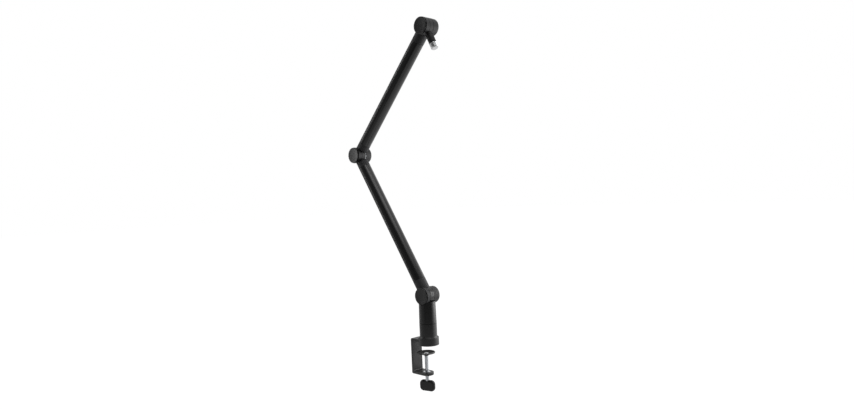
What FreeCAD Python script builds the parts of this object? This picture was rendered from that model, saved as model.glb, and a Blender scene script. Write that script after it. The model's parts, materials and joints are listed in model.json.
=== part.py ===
import FreeCAD, Part
import Sketcher
import math
import os
import re

# Desk-clamped boom arm for a microphone: two spring-balanced tubes on a swivel column.
# Frame: millimetres, +Z up, origin at the underside of the clamp jaw on the column axis.
# The three hinge axes run along Y. The arm is posed half folded, as it stands in use.

doc = FreeCAD.newDocument("boom_arm")

sizes = {
    # arm tubes: a front extrusion with a cable channel behind, closed by a clip-on cover
    "tube_dia": 27,
    "tube_wall": 3,
    "cover_wall": 1.4,
    "cover_fit": 0.1,
    "parting_gap": 0.35,
    "web_offset": 6.2,
    "web_thick": 1.5,
    "lower_span": 369,
    "upper_span": 341,
    "lower_lean": 33.4,
    "upper_lean": 43.5,
    # cast ends of the tubes
    "neck_length": 36,
    "neck_chamfer": 0.5,
    "fold_notch": 22,
    "cable_mouth_width": 9,
    "cable_mouth_length": 12,
    "spigot_length": 22,
    "spigot_fit": 0.1,
    # hinges
    "barrel_dia": 36,
    "tongue_width": 10,
    "washer_thick": 0.7,
    "washer_inset": 1.5,
    "cheek_width": 8.9,
    "relief_gap": 0.5,
    "bolt_dia": 8,
    "bolt_head_dia": 14,
    "bolt_head_height": 2.8,
    "nut_flats": 13,
    "running_fit": 0.05,
    "cap_dia": 35,
    "cap_wall": 2,
    "cap_room": 0.5,
    "cap_groove": 2.4,
    "cap_groove_depth": 2.4,
    "cap_spigot_dia": 26,
    "cap_spigot_depth": 1.2,
    "cap_hollow_dia": 20,
    "cap_rounding": 2.6,
    "hub_dia": 35.6,
    "hub_rounding": 3,
    "shoulder_hub": 7.7,
    "elbow_hub": 9.2,
    "head_hub": 6.6,
    # springs, their crank pins and anchor pins
    "wire_dia": 1.6,
    "coil_dia": 9.2,
    "coil_pitch": 5.5,
    "coil_lead": 9,
    "coil_start": 92,
    "lower_coil_leg": 63,
    "upper_coil_leg": 35,
    "hook_pin_dia": 4,
    "hook_gap": 0.2,
    "hook_tail": 2,
    "crank_arm": 10,
    "slot_width": 2.2,
    "slot_floor": 4,
    "neck_slot": 18,
    "neck_slot_length": 24,
    "spigot_slot": 9.6,
    "anchor_inset": 13,
    "anchor_slot_reach": 8.2,
    # small screws that hold the tubes on their ends
    "tube_screw_dia": 3,
    "tube_screw_head_dia": 5,
    "tube_screw_head": 1.6,
    "tube_screw_length": 6.5,
    "tube_screw_pitch": 9.6,
    # swivel column
    "shoulder_height": 103.5,
    "column_foot_dia": 36.8,
    "column_top_dia": 35.2,
    "column_drop": 12,
    "sleeve_top": 45,
    "sleeve_flare_dia": 39.4,
    "sleeve_flare": 2,
    "thrust_thick": 0.8,
    "thrust_dia": 33,
    "post_dia": 16,
    "post_top_gap": 2,
    "post_head_gap": 24,
    "bush_wall": 2,
    "bush_gap": 2.1,
    "post_groove": 4.6,
    "post_groove_depth": 1.5,
    "grub_dia": 6,
    "grub_tip_dia": 4,
    "grub_tip_gap": 0.3,
    "grub_sink": 0.8,
    # clamp
    "jaw_dia": 43.4,
    "jaw_height": 16.7,
    "jaw_lip": 0.3,
    "jaw_rounding": 1.5,
    "pad_dia": 38,
    "pad_thick": 5.3,
    "part_fit": 0.05,
    "strap_thick": 5.5,
    "strap_width": 26.5,
    "strap_reach": 35.6,
    "strap_bend": 2,
    "strap_corner": 3,
    "strap_overhang": 1.6,
    "throat_depth": 59,
    "post_screw_dia": 6,
    "post_screw_head_dia": 12,
    "post_screw_depth": 18,
    "jaw_screw_dia": 3,
    "jaw_screw_head_dia": 5.6,
    "jaw_screw_depth": 4.5,
    "jaw_screw_pitch": 20,
    "spindle_offset": 9.2,
    "spindle_dia": 8,
    "insert_dia": 13,
    "insert_flange_dia": 15,
    "insert_flange": 0.5,
    "plate_gap": 17,
    "plate_dia": 38.4,
    "plate_rim": 2,
    "plate_rim_height": 2,
    "plate_floor": 1.6,
    "plate_height": 5,
    "plate_foot_dia": 18,
    "plate_boss_dia": 13,
    "plate_boss": 1.6,
    "tip_dia": 5.6,
    "clip_dia": 10,
    "clip_thick": 1,
    "clip_groove_depth": 0.8,
    "knob_gap": 12,
    "knob_length": 35.5,
    "knob_height": 23.3,
    "knob_thick": 9.5,
    "knob_rounding": 3.8,
    "knob_corner": 8.5,
    "knob_turn": 14,
    "spindle_seat": 12,
    # microphone head
    "stud_lean": 26,
    "stud_neck_dia": 13,
    "stud_reach": 36,
    "stud_pilot_dia": 9.5,
    "stud_pilot_length": 12,
    "adapter_dia": 15.875,
    "adapter_length": 18,
    "adapter_relief": 1.6,
    "adapter_chamfer": 1,
}

# Lengths that follow from the sizes above.
worked = {
    "tube_radius": "tube_dia / 2",
    "step_radius": "tube_dia / 2 - cover_wall - cover_fit",
    "chamber_radius": "tube_dia / 2 - tube_wall",
    "web_back": "web_offset + web_thick",
    "barrel_radius": "barrel_dia / 2",
    "relief_radius": "barrel_dia / 2 + relief_gap",
    "tongue_half": "tongue_width / 2",
    "cheek_inner": "tongue_width / 2 + washer_thick",
    "cheek_outer": "tongue_width / 2 + washer_thick + cheek_width",
    "cap_seat": "bolt_head_height + cap_room",
    "cap_width": "bolt_head_height + cap_room + cap_wall",
    "spigot_radius": "tube_dia / 2 - tube_wall - spigot_fit",
    "spigot_end": "neck_length + spigot_length",
    "hook_radius": "hook_pin_dia / 2 + hook_gap + wire_dia / 2",
    "anchor_half": "sqrt(spigot_radius ^ 2 - (hook_radius + hook_pin_dia / 2) ^ 2)",
    "elbow_x": "-lower_span * sin(lower_lean)",
    "elbow_z": "shoulder_height + lower_span * cos(lower_lean)",
    "head_x": "upper_span * sin(upper_lean) - lower_span * sin(lower_lean)",
    "head_z": "shoulder_height + lower_span * cos(lower_lean) + upper_span * cos(upper_lean)",
    "column_foot": "sleeve_top + thrust_thick",
    "post_top": "shoulder_height - post_head_gap",
    "post_radius": "post_dia / 2",
    "bush_radius": "post_dia / 2 + running_fit + bush_wall",
    "bush_length": "(post_top - column_foot - grub_dia) / 2 - bush_gap",
    "grub_height": "(sleeve_top + shoulder_height - post_head_gap) / 2",
    "strap_top": "pad_thick + strap_thick",
    "strap_back": "strap_reach + strap_thick",
    "strap_end": "strap_overhang - spindle_offset",
    "floor_top": "-throat_depth",
    "floor_under": "-throat_depth - strap_thick",
    "plate_top": "-plate_gap",
    "plate_under": "-plate_gap - plate_height",
    "boss_under": "-plate_gap - plate_height - plate_boss",
    "knob_top": "-throat_depth - strap_thick - knob_gap",
    "mouth_floor": "-plate_gap - plate_rim_height - plate_floor",
}

alias_sheet = {}


def qualified(formula):
    """Point every size named in a formula at the sheet that holds it."""
    def full(match):
        return alias_sheet[match.group(0)] + "." + match.group(0)
    return re.sub(r"\b[a-z]+_[a-z_]+\b", full, formula)


def fill(name, cells, as_formula):
    """Write named cells to a new sheet: plain numbers, or formulas of the sizes."""
    sheet = doc.addObject("Spreadsheet::Sheet", name)
    alias_sheet.update({alias: name for alias in cells})
    for row, (alias, content) in enumerate(cells.items(), 1):
        text = "=" + qualified(content) if as_formula else str(content)
        sheet.set("A%d" % row, alias)
        sheet.set("B%d" % row, text)
        sheet.setAlias("B%d" % row, alias)
    doc.recompute()
    return sheet


size_sheet = fill("sizes", sizes, False)
worked_sheet = fill("worked", worked, True)


def value(alias):
    """A size as a number, for the wound springs."""
    sheet = size_sheet if alias in sizes else worked_sheet
    return float(sheet.get(alias))


def bind(thing, prop, formula):
    thing.setExpression(prop, qualified(formula))


ALONG_Y = (FreeCAD.Vector(1, 0, 0), -90)
AGAINST_Y = (FreeCAD.Vector(1, 0, 0), 90)
ALONG_X = (FreeCAD.Vector(0, 1, 0), 90)
AGAINST_X = (FreeCAD.Vector(0, 1, 0), -90)
FRONT_HALF = (FreeCAD.Vector(0, 0, 1), -90)
REAR_HALF = (FreeCAD.Vector(0, 0, 1), 90)
UPRIGHT = (FreeCAD.Vector(0, 1, 0), 0)


def place(thing, at, turn=UPRIGHT, lean=None):
    """Put a piece at three formulas; lean is a formula for its turn about Y."""
    axis, angle = turn
    if lean is not None:
        axis, angle = FreeCAD.Vector(0, 1, 0), 1
    thing.Placement = FreeCAD.Placement(FreeCAD.Vector(), FreeCAD.Rotation(axis, angle))
    for letter, formula in zip("xyz", at):
        bind(thing, "Placement.Base." + letter, formula)
    if lean is not None:
        bind(thing, "Placement.Rotation.Angle", lean)


def new_body(name):
    body = doc.addObject("PartDesign::Body", name)
    body.Label = name
    return body


def form(body, kind, at=("0", "0", "0"), turn=UPRIGHT, **lengths):
    """Add a primitive to a body, or take one away, with its lengths bound to the sheet."""
    feature = body.newObject("PartDesign::" + kind, kind)
    for prop, formula in lengths.items():
        bind(feature, prop, formula)
    place(feature, at, turn)
    return feature


def add_rod(body, radius, height, at=("0", "0", "0"), turn=UPRIGHT):
    return form(body, "AdditiveCylinder", at, turn, Radius=radius, Height=height)


def bore(body, radius, height, at=("0", "0", "0"), turn=UPRIGHT):
    return form(body, "SubtractiveCylinder", at, turn, Radius=radius, Height=height)


def add_half(body, radius, height, turn):
    half = form(body, "AdditiveCylinder", ("0", "0", "0"), turn, Radius=radius, Height=height)
    half.Angle = 180
    return half


def add_block(body, at, size):
    return form(body, "AdditiveBox", at, Length=size[0], Width=size[1], Height=size[2])


def slot(body, at, size):
    return form(body, "SubtractiveBox", at, Length=size[0], Width=size[1], Height=size[2])


def outline(body, role, points):
    """A closed outline of straight edges; each corner is a pair of formulas.

    The corners start on a small circle and are moved to their places by the bound lengths.
    """
    plane = [item for item in body.Origin.OriginFeatures if item.Role == role][0]
    sketch = body.newObject("Sketcher::SketchObject", "Outline")
    sketch.AttachmentSupport = [(plane, "")]
    sketch.MapMode = "FlatFace"
    count = len(points)
    corners = [FreeCAD.Vector(math.cos(2 * math.pi * index / count), math.sin(2 * math.pi * index / count), 0)
               for index in range(count)]
    for index in range(count):
        sketch.addGeometry(Part.LineSegment(corners[index], corners[(index + 1) % count]))
    for index in range(count):
        sketch.addConstraint(Sketcher.Constraint("Coincident", index, 2, (index + 1) % count, 1))
    for index, (across, up) in enumerate(points):
        corner = corners[index]
        for kind, formula, size in (("DistanceX", across, corner.x), ("DistanceY", up, corner.y)):
            which = sketch.addConstraint(Sketcher.Constraint(kind, -1, 1, index, 1, size))
            bind(sketch, "Constraints[%d]" % which, formula)
    return sketch


def turned(name, points):
    """A body turned about its own Z axis from an outline of (radius, height) corners."""
    body = new_body(name)
    sketch = outline(body, "XZ_Plane", points)
    spin = body.newObject("PartDesign::Revolution", "Turned")
    spin.Profile = sketch
    spin.ReferenceAxis = (sketch, ["V_Axis"])
    spin.Angle = 360
    return body


def soften(body, radius, wanted):
    """Round the edges of a body that pass the test."""
    doc.recompute()
    tip = body.Tip
    edges = ["Edge%d" % (index + 1) for index, edge in enumerate(tip.Shape.Edges) if wanted(edge)]
    rounding = body.newObject("PartDesign::Fillet", "Rounding")
    rounding.Base = (tip, edges)
    bind(rounding, "Radius", radius)


def group(name, pieces):
    """Identical small pieces that share one node."""
    cluster = doc.addObject("Part::Compound", name)
    cluster.Label = name
    cluster.Links = pieces
    return cluster


def is_circle(edge, radius, height):
    curve = edge.Curve
    return (isinstance(curve, Part.Circle) and abs(curve.Radius - radius) < 1e-4
            and abs(curve.Center.z - height) < 1e-4)


nodes = []


def keep(piece):
    nodes.append(piece)
    return piece


SHOULDER = ("0", "0", "shoulder_height")
ELBOW = ("elbow_x", "0", "elbow_z")
HEAD = ("head_x", "0", "head_z")
LOWER_LEAN = "-lower_lean"
UPPER_LEAN = "upper_lean"
LOWER_BACK = "180 - lower_lean"
UPPER_BACK = "180 + upper_lean"


def offset(point, axis, formula):
    """A point moved along one axis by a formula."""
    moved = list(point)
    letter = "xyz".index(axis)
    moved[letter] = "(%s) + (%s)" % (point[letter], formula)
    return tuple(moved)


def crank(turn, point=("0", "0", "0")):
    """Where a crank pin sits when the arm that pulls on it is turned by this formula."""
    across = "hook_radius * cos(%s) + crank_arm * sin(%s)" % (turn, turn)
    up = "crank_arm * cos(%s) - hook_radius * sin(%s)" % (turn, turn)
    return offset(offset(point, "x", across), "z", up)


# Cast ends: a neck as wide as the tube, a spigot inside it, and a fork or a tongue.

def neck(name, rear):
    """A neck with its spigot; rear is the sign of X on the cable side."""
    body = turned(name, [
        ("0", "0"),
        ("tube_radius", "0"),
        ("tube_radius", "neck_length - neck_chamfer"),
        ("tube_radius - neck_chamfer", "neck_length"),
        ("spigot_radius", "neck_length"),
        ("spigot_radius", "spigot_end"),
        ("0", "spigot_end"),
    ])
    flat = "web_offset - spigot_fit"
    slot(body, ("-tube_dia - (%s)" % flat if rear == "-" else flat, "-tube_dia", "neck_length"),
         ("tube_dia", "2 * tube_dia", "2 * spigot_length"))
    inward = ALONG_X if rear == "-" else AGAINST_X
    for side in ("-", ""):
        bore(body, "tube_screw_dia / 2", "tube_screw_length",
             (rear + "web_back", side + "tube_screw_pitch / 2", "neck_length + spigot_length / 2"), inward)
    return body


def make_fork(body):
    """Two cheeks that straddle a tongue, drilled for the hinge bolt and recessed for caps."""
    add_rod(body, "barrel_radius", "2 * cheek_outer", ("0", "-cheek_outer", "0"), ALONG_Y)
    bore(body, "relief_radius", "2 * cheek_inner", ("0", "-cheek_inner", "0"), ALONG_Y)
    bore(body, "bolt_dia / 2 + running_fit", "2 * cheek_outer", ("0", "-cheek_outer", "0"), ALONG_Y)
    for start in ("-cheek_outer", "cheek_outer - cap_spigot_depth"):
        bore(body, "cap_spigot_dia / 2 + part_fit", "cap_spigot_depth", ("0", start, "0"), ALONG_Y)


def make_tongue(body):
    """The middle knuckle, with the neck beside it cut back to clear a fork's cheeks."""
    for start in ("tongue_half", "-tongue_half - tube_dia"):
        bore(body, "relief_radius", "tube_dia", ("0", start, "0"), ALONG_Y)
    add_rod(body, "barrel_radius", "tongue_width", ("0", "-tongue_half", "0"), ALONG_Y)
    bore(body, "bolt_dia / 2 + running_fit", "tongue_width", ("0", "-tongue_half", "0"), ALONG_Y)


def notch(body, front):
    """Cut the neck back on the side that folds; front is the corner's X there."""
    slot(body, (front, "-tube_dia", "0"), ("tube_dia", "2 * tube_dia", "fold_notch"))


def pull_slot(body):
    """The way through a fork's neck for the spring's long leg."""
    slot(body, ("-neck_slot / 2", "-slot_width / 2", "0"), ("neck_slot", "slot_width", "neck_slot_length"))
    slot(body, ("-spigot_slot / 2", "-slot_width / 2", "0"),
         ("spigot_slot", "slot_width", "2 * spigot_end"))


def anchor_seat(body):
    """A slotted spigot with a cross hole for the pin that holds the spring's far hook."""
    slot(body, ("-anchor_slot_reach", "-slot_width / 2", "neck_length"),
         ("spigot_slot / 2 + anchor_slot_reach", "slot_width", "2 * spigot_length"))
    bore(body, "hook_pin_dia / 2", "2 * tube_dia",
         ("-hook_radius", "-tube_dia", "neck_length + anchor_inset"), ALONG_Y)


lower_fork = neck("lower_arm_fork", "-")
make_fork(lower_fork)
pull_slot(lower_fork)
place(keep(lower_fork), SHOULDER, lean=LOWER_LEAN)

upper_fork = neck("upper_arm_fork", "-")
notch(upper_fork, "0")
make_fork(upper_fork)
pull_slot(upper_fork)
place(keep(upper_fork), ELBOW, lean=UPPER_LEAN)

knuckle = neck("lower_arm_knuckle", "")
notch(knuckle, "-tube_dia")
make_tongue(knuckle)
slot(knuckle, ("-barrel_dia", "-slot_width / 2", "-barrel_dia"),
     ("barrel_dia - slot_floor", "slot_width", "2 * barrel_radius + crank_arm"))
bore(knuckle, "hook_pin_dia / 2", "tongue_width",
     offset(crank("(upper_lean + lower_lean - 180)"), "y", "-tongue_half"), ALONG_Y)
anchor_seat(knuckle)
place(keep(knuckle), ELBOW, lean=LOWER_BACK)

yoke = neck("upper_arm_yoke", "")
make_fork(yoke)
anchor_seat(yoke)
place(keep(yoke), HEAD, lean=UPPER_BACK)


# Arm tubes and their cable covers.

def arm_tube(name, span):
    length = "(%s - 2 * neck_length)" % span
    body = new_body(name)
    add_rod(body, "step_radius", length)
    slot(body, ("-2 * tube_dia", "-tube_dia", "0"), ("2 * tube_dia - web_back", "2 * tube_dia", length))
    add_half(body, "tube_radius", length, FRONT_HALF)
    bore(body, "chamber_radius", length)
    web_half = "sqrt(step_radius ^ 2 - web_back ^ 2)"
    add_block(body, ("-web_back", "-" + web_half, "0"), ("web_thick", "2 * " + web_half, length))
    for height in ("spigot_length / 2", length + " - spigot_length / 2"):
        for side in ("-", ""):
            bore(body, "tube_screw_dia / 2 + part_fit", "2 * web_thick",
                 ("-web_back - web_thick / 2", side + "tube_screw_pitch / 2", height), ALONG_X)
    return body


def cable_cover(name, span):
    """A half-round cover with a rounded mouth at each end where a cable goes in."""
    length = "(%s - 2 * neck_length)" % span
    body = new_body(name)
    add_half(body, "tube_radius", length, REAR_HALF)
    bore(body, "step_radius + cover_fit", length)
    slot(body, ("-parting_gap", "-tube_dia", "0"), ("tube_dia", "2 * tube_dia", length))
    straight = "(cable_mouth_length - cable_mouth_width / 2)"
    for foot, end in (("0", straight), (length + " - " + straight, length + " - " + straight)):
        slot(body, ("-tube_dia", "-cable_mouth_width / 2", foot), ("tube_dia", "cable_mouth_width", straight))
        bore(body, "cable_mouth_width / 2", "tube_dia", ("-tube_dia", "0", end), ALONG_X)
    return body


def tube_screws(name, point, lean, span):
    """Pan-head screws in the cable channel, two at each end of the tube."""
    screws = []
    for height in ("neck_length + spigot_length / 2", span + " - neck_length - spigot_length / 2"):
        for side in ("-", ""):
            screw = new_body(name + "_screw")
            add_rod(screw, "tube_screw_head_dia / 2", "tube_screw_head",
                    ("-web_back", side + "tube_screw_pitch / 2", height), AGAINST_X)
            add_rod(screw, "tube_screw_dia / 2", "tube_screw_length",
                    ("-web_back", side + "tube_screw_pitch / 2", height), ALONG_X)
            screws.append(screw)
    place(keep(group(name, screws)), point, lean=lean)


def along(point, lean, distance):
    """A point at a distance up an arm."""
    moved = offset(point, "x", "(%s) * sin(%s)" % (distance, lean))
    return offset(moved, "z", "(%s) * cos(%s)" % (distance, lean))


ARMS = (("lower", SHOULDER, LOWER_LEAN, "lower_span"), ("upper", ELBOW, UPPER_LEAN, "upper_span"))
for arm, foot, lean, span in ARMS:
    start = along(foot, lean, "neck_length")
    place(keep(arm_tube(arm + "_arm_tube", span)), start, lean=lean)
    place(keep(cable_cover(arm + "_cable_cover", span)), start, lean=lean)
    tube_screws(arm + "_tube_screws", foot, lean, span)
    pin = new_body(arm + "_spring_anchor")
    add_rod(pin, "hook_pin_dia / 2", "2 * anchor_half",
            ("hook_radius", "-anchor_half", span + " - neck_length - anchor_inset"), ALONG_Y)
    place(keep(pin), foot, lean=lean)


# Hinge hardware: bolt, friction washers, thin nut and two end caps for each of the three hinges.

def hinge_set(joint, centre):
    bolt = turned(joint + "_bolt", [
        ("0", "-bolt_head_height"),
        ("bolt_head_dia / 2", "-bolt_head_height"),
        ("bolt_head_dia / 2", "0"),
        ("bolt_dia / 2", "0"),
        ("bolt_dia / 2", "2 * cheek_outer + bolt_head_height"),
        ("0", "2 * cheek_outer + bolt_head_height"),
    ])
    place(keep(bolt), offset(centre, "y", "-cheek_outer"), ALONG_Y)

    nut = new_body(joint + "_nut")
    prism = form(nut, "AdditivePrism", Circumradius="nut_flats / sqrt(3)", Height="bolt_head_height")
    prism.Polygon = 6
    bore(nut, "bolt_dia / 2 + part_fit", "bolt_head_height")
    place(keep(nut), offset(centre, "y", "cheek_outer"), ALONG_Y)

    washers = []
    for start in ("tongue_half", "-tongue_half - washer_thick"):
        washer = new_body(joint + "_washer")
        add_rod(washer, "barrel_radius - washer_inset", "washer_thick", ("0", start, "0"), ALONG_Y)
        bore(washer, "bolt_dia / 2 + part_fit", "washer_thick", ("0", start, "0"), ALONG_Y)
        washers.append(washer)
    place(keep(group(joint + "_washers", washers)), centre)

    hollow = [
        ("cap_spigot_dia / 2", "0"),
        ("cap_spigot_dia / 2", "-cap_spigot_depth"),
        ("cap_hollow_dia / 2", "-cap_spigot_depth"),
        ("cap_hollow_dia / 2", "cap_seat"),
        ("0", "cap_seat"),
    ]
    left = turned(joint + "_cap_left", [
        ("0", "cap_width"),
        ("cap_dia / 2", "cap_width"),
        ("cap_dia / 2", "cap_groove"),
        ("cap_dia / 2 - cap_groove_depth", "cap_groove"),
        ("cap_dia / 2 - cap_groove_depth", "0"),
    ] + hollow)
    soften(left, "cap_rounding", lambda edge: is_circle(edge, value("cap_dia") / 2, value("cap_width")))
    place(keep(left), offset(centre, "y", "-cheek_outer"), AGAINST_Y)

    hub = joint + "_hub"
    right = turned(joint + "_cap_right", [("0", hub), ("hub_dia / 2", hub), ("hub_dia / 2", "0")] + hollow)
    soften(right, "hub_rounding", lambda edge: is_circle(edge, value("hub_dia") / 2, value(hub)))
    place(keep(right), offset(centre, "y", "cheek_outer"), ALONG_Y)


for joint, centre in (("shoulder", SHOULDER), ("elbow", ELBOW), ("head", HEAD)):
    hinge_set(joint, centre)

for joint, centre, turn in (("shoulder", SHOULDER, "(-lower_lean)"), ("elbow", ELBOW, "(upper_lean)")):
    pin = new_body(joint + "_crank_pin")
    add_rod(pin, "hook_pin_dia / 2", "tongue_width", ("0", "-tongue_half", "0"), ALONG_Y)
    place(keep(pin), crank(turn, centre))


# Balance springs: one wire from the hook on the crank pin, through the coil, to the anchor hook.

def biarc(start, start_way, end, end_way):
    """Two arcs that leave one point along a direction and reach another along a second one."""
    chord = end - start
    both = start_way + end_way
    square = both.dot(both) - 4
    middle = chord.dot(both)
    if abs(square) < 1e-9:
        reach = chord.dot(chord) / (2 * middle)
    else:
        reach = (middle - math.sqrt(middle ** 2 - square * chord.dot(chord))) / square
    first = start + start_way * reach
    second = end - end_way * reach
    joint = (first + second) * 0.5
    return [arc_by_tangents(start, first, joint), arc_by_tangents(joint, second, end)]


def arc_by_tangents(start, corner, end):
    weight = (end - start).Length / (2 * (corner - start).Length)
    crown = (start + corner * (2 * weight) + end) * (1 / (2 + 2 * weight))
    return Part.Arc(start, crown, end)


def wire_path(reach, leg):
    """The wire's centre line in the arm's own frame.

    Reach is the height of the anchor pin, and leg the straight run left below it; whole turns fill the rest.
    """
    hook = value("hook_radius")
    tail = value("hook_tail")
    low = value("crank_arm")
    lead = value("coil_lead")
    radius = value("coil_dia") / 2
    pitch = value("coil_pitch")
    coil_foot = value("coil_start")
    turns = round((reach - leg - coil_foot) / pitch)
    coil_head = coil_foot + turns * pitch
    up = FreeCAD.Vector(0, 0, 1)

    def at(x, z):
        return FreeCAD.Vector(x, 0, z)

    def helix(turn):
        angle = 2 * math.pi * turn
        spot = FreeCAD.Vector(radius * math.cos(angle), radius * math.sin(angle), coil_foot + pitch * turn)
        way = FreeCAD.Vector(-radius * math.sin(angle), radius * math.cos(angle), pitch / (2 * math.pi))
        return spot, way.normalize()

    path = [
        Part.LineSegment(at(2 * hook, low + tail), at(2 * hook, low)),
        Part.Arc(at(2 * hook, low), at(hook, low - hook), at(0, low)),
        Part.LineSegment(at(0, low), at(0, coil_foot - lead)),
    ]
    path += biarc(at(0, coil_foot - lead), up, *helix(0))
    for half in range(2 * turns):
        path += biarc(*helix(half / 2), *helix((half + 1) / 2))
    path += biarc(*helix(turns), at(0, coil_head + lead), up)
    path += [
        Part.LineSegment(at(0, coil_head + lead), at(0, reach)),
        Part.Arc(at(0, reach), at(hook, reach + hook), at(2 * hook, reach)),
        Part.LineSegment(at(2 * hook, reach), at(2 * hook, reach - tail)),
    ]
    return Part.Wire([piece.toShape() for piece in path])


def least_gap(path, wire):
    """The smallest distance between turns of one wire, measured on points along it."""
    step = wire / 2
    spots = path.discretize(Distance=step)
    skip = int(math.pi * value("coil_dia") / 2 / step)
    return min((a - b).Length for index, a in enumerate(spots) for b in spots[index + skip:]) - wire


def balance_spring(arm, point, lean, span):
    name = arm + "_spring"
    path = wire_path(value(span) - value("neck_length") - value("anchor_inset"), value(arm + "_coil_leg"))
    wire = value("wire_dia")
    tip = path.Edges[0]
    first = tip.FirstParameter
    section = Part.Circle(tip.valueAt(first), tip.tangentAt(first), wire / 2)
    shape = path.makePipeShell([Part.Wire(section.toShape())], True, False)
    expected = math.pi * wire ** 2 / 4 * path.Length
    print(name, "volume ratio %.4f" % (shape.Volume / expected), "least gap %.2f mm" % least_gap(path, wire))
    spring = doc.addObject("Part::Feature", name)
    spring.Label = name
    spring.Shape = shape
    place(keep(spring), point, lean=lean)


for arm, foot, lean, span in ARMS:
    balance_spring(arm, foot, lean, span)


# Swivel column: a tapered casting with a tongue on top, turning on a steel post.

column = turned("column_body", [
    ("0", "column_foot - shoulder_height"),
    ("column_foot_dia / 2", "column_foot - shoulder_height"),
    ("column_top_dia / 2", "-column_drop"),
    ("0", "-column_drop"),
])
make_tongue(column)
bore(column, "bush_radius", "post_top + post_top_gap - column_foot",
     ("0", "0", "column_foot - shoulder_height"))
slot(column, ("-barrel_dia", "-slot_width / 2", "slot_floor"),
     ("2 * barrel_dia", "slot_width", "barrel_dia"))
bore(column, "hook_pin_dia / 2", "tongue_width",
     offset(crank("(-lower_lean)"), "y", "-tongue_half"), ALONG_Y)
bore(column, "grub_dia / 2", "column_foot_dia",
     ("-column_foot_dia", "0", "grub_height - shoulder_height"), ALONG_X)
place(keep(column), SHOULDER)

for name, foot in (("lower_bush", "column_foot"), ("upper_bush", "post_top - bush_length")):
    bush = new_body(name)
    add_rod(bush, "bush_radius", "bush_length")
    bore(bush, "post_radius + running_fit", "bush_length")
    place(keep(bush), ("0", "0", foot))

grub = turned("swivel_grub_screw", [
    ("0", "0"),
    ("grub_tip_dia / 2", "0"),
    ("grub_tip_dia / 2", "bush_radius - post_radius + post_groove_depth - grub_tip_gap"),
    ("grub_dia / 2", "bush_radius - post_radius + post_groove_depth - grub_tip_gap"),
    ("grub_dia / 2", "column_top_dia / 2 - grub_sink - post_radius + post_groove_depth - grub_tip_gap"),
    ("0", "column_top_dia / 2 - grub_sink - post_radius + post_groove_depth - grub_tip_gap"),
])
place(keep(grub), ("-(post_radius - post_groove_depth + grub_tip_gap)", "0", "grub_height"), AGAINST_X)

post = turned("swivel_post", [
    ("0", "strap_top"),
    ("post_radius", "strap_top"),
    ("post_radius", "grub_height - post_groove / 2"),
    ("post_radius - post_groove_depth", "grub_height - post_groove / 2"),
    ("post_radius - post_groove_depth", "grub_height + post_groove / 2"),
    ("post_radius", "grub_height + post_groove / 2"),
    ("post_radius", "post_top"),
    ("0", "post_top"),
])
bore(post, "post_screw_dia / 2", "post_screw_depth", ("0", "0", "strap_top"))
keep(post)

sleeve = turned("base_sleeve", [
    ("post_radius", "jaw_height"),
    ("sleeve_flare_dia / 2", "jaw_height"),
    ("column_foot_dia / 2", "jaw_height + sleeve_flare"),
    ("column_foot_dia / 2", "sleeve_top"),
    ("post_radius", "sleeve_top"),
])
keep(sleeve)

thrust = new_body("thrust_washer")
add_rod(thrust, "thrust_dia / 2", "thrust_thick")
bore(thrust, "post_radius + part_fit", "thrust_thick")
place(keep(thrust), ("0", "0", "sleeve_top"))


# Clamp: a bent steel strap, the upper jaw with its pad, and the screw below.

strap = new_body("clamp_strap")
strap_side = outline(strap, "XZ_Plane", [
    ("0", "pad_thick"),
    ("0", "strap_top"),
    ("-strap_back", "strap_top"),
    ("-strap_back", "floor_under"),
    ("strap_end", "floor_under"),
    ("strap_end", "floor_top"),
    ("-strap_reach", "floor_top"),
    ("-strap_reach", "pad_thick"),
])
bent = strap.newObject("PartDesign::Pad", "Bent")
bent.Profile = strap_side
bent.Midplane = True
bind(bent, "Length", "strap_width")


def along_strap(edge, across):
    """Whether an edge runs across the strap at one of its bends."""
    ends = [vertex.Point for vertex in edge.Vertexes]
    at_bend = all(abs(end.x + across) < 1e-4 for end in ends)
    return len(ends) == 2 and at_bend and abs(ends[0].y - ends[1].y) > 1


soften(strap, "strap_bend", lambda edge: along_strap(edge, value("strap_reach")))
soften(strap, "strap_corner", lambda edge: along_strap(edge, value("strap_back")))
add_rod(strap, "strap_width / 2", "strap_thick", ("0", "0", "pad_thick"))
add_rod(strap, "strap_width / 2", "strap_thick", ("strap_end", "0", "floor_under"))
bore(strap, "insert_dia / 2", "strap_thick", ("-spindle_offset", "0", "floor_under"))


def countersink(body, head, shank, at):
    """A countersunk hole from below, as deep as the head's cone and then through."""
    form(body, "SubtractiveCone", at, Radius1=head, Radius2=shank, Height="(%s) - (%s)" % (head, shank))
    bore(body, shank, "strap_thick", at)


def countersunk_screw(name, head, shank, length):
    cone = "(%s) - (%s)" % (head, shank)
    return turned(name, [("0", "0"), (head, "0"), (shank, cone), (shank, length), ("0", length)])


JAW_SCREWS = (("0", "-jaw_screw_pitch / 2", "pad_thick"), ("0", "jaw_screw_pitch / 2", "pad_thick"))
countersink(strap, "post_screw_head_dia / 2", "post_screw_dia / 2", ("0", "0", "pad_thick"))
for spot in JAW_SCREWS:
    countersink(strap, "jaw_screw_head_dia / 2", "jaw_screw_dia / 2", spot)
keep(strap)

post_screw = countersunk_screw("post_screw", "post_screw_head_dia / 2", "post_screw_dia / 2",
                               "strap_thick + post_screw_depth")
place(keep(post_screw), ("0", "0", "pad_thick"))

jaw_screws = []
for spot in JAW_SCREWS:
    screw = countersunk_screw("jaw_screw", "jaw_screw_head_dia / 2", "jaw_screw_dia / 2",
                              "strap_thick + jaw_screw_depth")
    place(screw, spot)
    jaw_screws.append(screw)
keep(group("jaw_screws", jaw_screws))

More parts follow.
